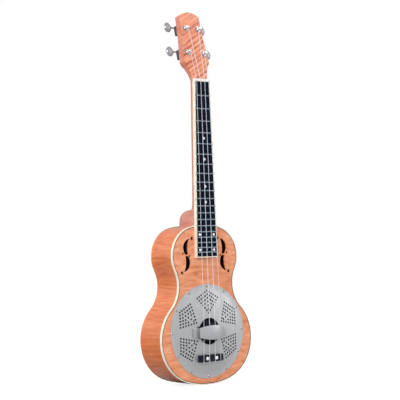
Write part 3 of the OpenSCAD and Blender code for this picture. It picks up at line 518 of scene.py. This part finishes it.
def winding(number, joint):
    """One string's coils round the waist of its post: a tube along a helix."""
    r = STRING_R[number - 1]
    axis = Vector(joint["axis"]).normalized()
    middle = Vector(joint["pos_m"]) + axis * WINDINGS_UP * MM
    out = axis.cross(Vector((1, 0, 0))).normalized()
    side = axis.cross(out)
    bm = bmesh.new()
    rings = []
    for k in range(COIL_STEPS + 1):
        share = k / COIL_STEPS
        turn = 2 * math.pi * COILS * share
        radial = out * math.cos(turn) + side * math.sin(turn)
        centre = middle + (radial * (WAIST_R + r) + axis * (share - 0.5) * COILS_TALL * r) * MM
        ring = []
        for j in range(TUBE_SIDES):
            a = 2 * math.pi * j / TUBE_SIDES
            outward = radial * math.cos(a) + axis * math.sin(a)
            ring.append(bm.verts.new(centre + outward * TUBE_SWELL * r * MM))
        rings.append(ring)
    for here, there in zip(rings, rings[1:]):
        for j in range(TUBE_SIDES):
            m = (j + 1) % TUBE_SIDES
            bm.faces.new((here[j], here[m], there[m], there[j]))
    bm.faces.new(rings[0])
    bm.faces.new(reversed(rings[-1]))
    bmesh.ops.recalc_face_normals(bm, faces=bm.faces)
    mesh = bpy.data.meshes.new(f"winding_{number}")
    bm.to_mesh(mesh)
    bm.free()
    mesh.polygons.foreach_set("use_smooth", [True] * len(mesh.polygons))
    mesh.materials.append(MATERIALS["nylon"])
    o = bpy.data.objects.new(f"winding_{number}", mesh)
    bpy.context.scene.collection.objects.link(o)
    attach(o, "root")


joints = {joint["name"]: joint for joint in frame["record"]["behaviour"]["joints"]}
for number in range(1, 5):
    winding(number, joints[f"post_turn_{number}"])


# ---------------------------------------------------------------- stage, light and camera

FRONT_RIGHT_GLOW = 0.50
BACK_LEFT_GLOW = 0.85
GLOW_DIRECTION = (0.63, -0.776, 0.0)
ROOM_TINT = (0.97, 0.98, 1.0, 1.0)
ROOM_LIGHT = 0.92
# Brightness of the room in reflections, from straight down (0) to straight up (1).
ROOM_LEVELS = [(0.0, 0.75), (0.42, 0.50), (0.49, 0.10), (0.56, 0.14), (0.66, 0.55), (1.0, 0.40)]
FLOOR_SIZE = 30.0
FLOOR_GREY = (0.38, 0.38, 0.38)         # what the floor throws back at the object
FLOOR_GLOW = 0.85                       # added where the camera sees the floor
LIGHTS_AIM = (0.0, 0.0, 0.2)


def floor(size, z):
    """A white floor that runs into the white background, and keeps only the closest shadows."""
    mesh = bpy.data.meshes.new("floor")
    h = size / 2
    mesh.from_pydata([(-h, -h, z), (h, -h, z), (h, h, z), (-h, h, z)], [], [(0, 1, 2, 3)])
    o = bpy.data.objects.new("floor", mesh)
    bpy.context.scene.collection.objects.link(o)
    g = Graph("floor_paint")
    seen = g.tree.nodes.new("ShaderNodeLightPath").outputs["Is Camera Ray"]
    g.set(Base_Color=FLOOR_GREY, Roughness=0.9, Emission_Color=WHITE,
          Emission_Strength=g.math("MULTIPLY", seen, FLOOR_GLOW))
    mesh.materials.append(g.material)


def soft_light(name, place, size, power):
    """A rectangle of light, turned towards the object."""
    light = bpy.data.lights.new(name, "AREA")
    light.shape = "RECTANGLE"
    light.size, light.size_y = size
    light.energy = power
    o = bpy.data.objects.new(name, light)
    o.location = place
    o.rotation_euler = (Vector(LIGHTS_AIM) - Vector(place)).to_track_quat("-Z", "Y").to_euler()
    bpy.context.scene.collection.objects.link(o)


def side_glow(tree, direction):
    """Bright panels to the front right and the back left, seen only in reflections."""
    def step(kind, a, b=None):
        n = tree.nodes.new("ShaderNodeMath")
        n.operation = kind
        for socket, value in zip(n.inputs, (a, b)):
            if isinstance(value, bpy.types.NodeSocket):
                tree.links.new(value, socket)
            elif value is not None:
                socket.default_value = value
        return n.outputs[0]

    dot = tree.nodes.new("ShaderNodeVectorMath")
    dot.operation = "DOT_PRODUCT"
    tree.links.new(direction, dot.inputs[0])
    dot.inputs[1].default_value = GLOW_DIRECTION
    facing = dot.outputs["Value"]
    away = step("MULTIPLY", facing, -1.0)
    right = step("POWER", step("MAXIMUM", facing, 0.0), 3.0)
    left = step("POWER", step("MAXIMUM", away, 0.0), 4.0)
    return step("ADD", step("MULTIPLY", right, FRONT_RIGHT_GLOW), step("MULTIPLY", left, BACK_LEFT_GLOW))


def studio():
    """A white room: even light, with darker bands and brighter panels that only reflections show."""
    world = bpy.data.worlds.new("studio")
    bpy.context.scene.world = world
    world.use_nodes = True
    tree = world.node_tree
    tree.nodes.clear()
    out = tree.nodes.new("ShaderNodeOutputWorld")
    add = tree.nodes.new
    link = tree.links.new
    camera_white, room = add("ShaderNodeBackground"), add("ShaderNodeBackground")
    camera_white.inputs["Color"].default_value = (1, 1, 1, 1)
    camera_white.inputs["Strength"].default_value = 1.0
    direction = add("ShaderNodeTexCoord").outputs["Generated"]
    split = add("ShaderNodeSeparateXYZ")
    link(direction, split.inputs[0])
    ramp = add("ShaderNodeValToRGB")
    ramp.color_ramp.interpolation = "EASE"
    while len(ramp.color_ramp.elements) < len(ROOM_LEVELS):
        ramp.color_ramp.elements.new(0.5)
    for element, (at, level) in zip(ramp.color_ramp.elements, ROOM_LEVELS):
        element.position = at
        element.color = (level, level, level, 1)
    half = add("ShaderNodeMath")
    half.operation = "MULTIPLY_ADD"
    half.inputs[1].default_value = 0.5
    half.inputs[2].default_value = 0.5
    link(split.outputs["Z"], half.inputs[0])
    link(half.outputs[0], ramp.inputs[0])
    glow = side_glow(tree, direction)
    total = add("ShaderNodeMath")
    total.operation = "ADD"
    link(ramp.outputs[0], total.inputs[0])
    link(glow, total.inputs[1])
    path = add("ShaderNodeLightPath")
    level = add("ShaderNodeMix")
    level.data_type = "RGBA"
    level.inputs[6].default_value = ROOM_TINT
    link(path.outputs["Is Glossy Ray"], level.inputs[0])
    link(total.outputs[0], level.inputs[7])
    link(level.outputs[2], room.inputs["Color"])
    room.inputs["Strength"].default_value = ROOM_LIGHT
    choose = add("ShaderNodeMixShader")
    link(path.outputs["Is Camera Ray"], choose.inputs[0])
    link(room.outputs[0], choose.inputs[1])
    link(camera_white.outputs[0], choose.inputs[2])
    link(choose.outputs[0], out.inputs["Surface"])


def camera():
    """Looks at the instrument from its bass side, almost level, with a slight roll."""
    azimuth = math.radians(-39.208)
    elevation = math.radians(-2.40)
    roll = math.radians(-1.734)
    target = Vector((-7.37, -59.37, 226.50)) * MM
    distance = 2.163
    out_x = math.sin(azimuth) * math.cos(elevation)
    out_y = -math.cos(azimuth) * math.cos(elevation)
    back = Vector((out_x, out_y, math.sin(elevation)))
    right = (-back).cross(Vector((0, 0, 1))).normalized()
    up = right.cross(-back)
    side = right * math.cos(roll) + up * math.sin(roll)
    top = up * math.cos(roll) - right * math.sin(roll)
    data = bpy.data.cameras.new("camera")
    data.sensor_width = 36.0
    data.lens = 112.5
    o = bpy.data.objects.new("camera", data)
    turn = Matrix((side, top, back)).transposed().to_4x4()
    o.matrix_world = Matrix.Translation(target + back * distance) @ turn
    bpy.context.scene.collection.objects.link(o)
    bpy.context.scene.camera = o


studio()
floor(FLOOR_SIZE, cad_low.z - 0.2 * MM)
soft_light("key", (-1.9, -1.3, 1.5), size=(1.0, 1.4), power=37.0)
soft_light("fill", (2.3, -1.6, 1.0), size=(1.0, 2.0), power=9.0)
camera()
bpy.context.scene.view_settings.view_transform = "Standard"
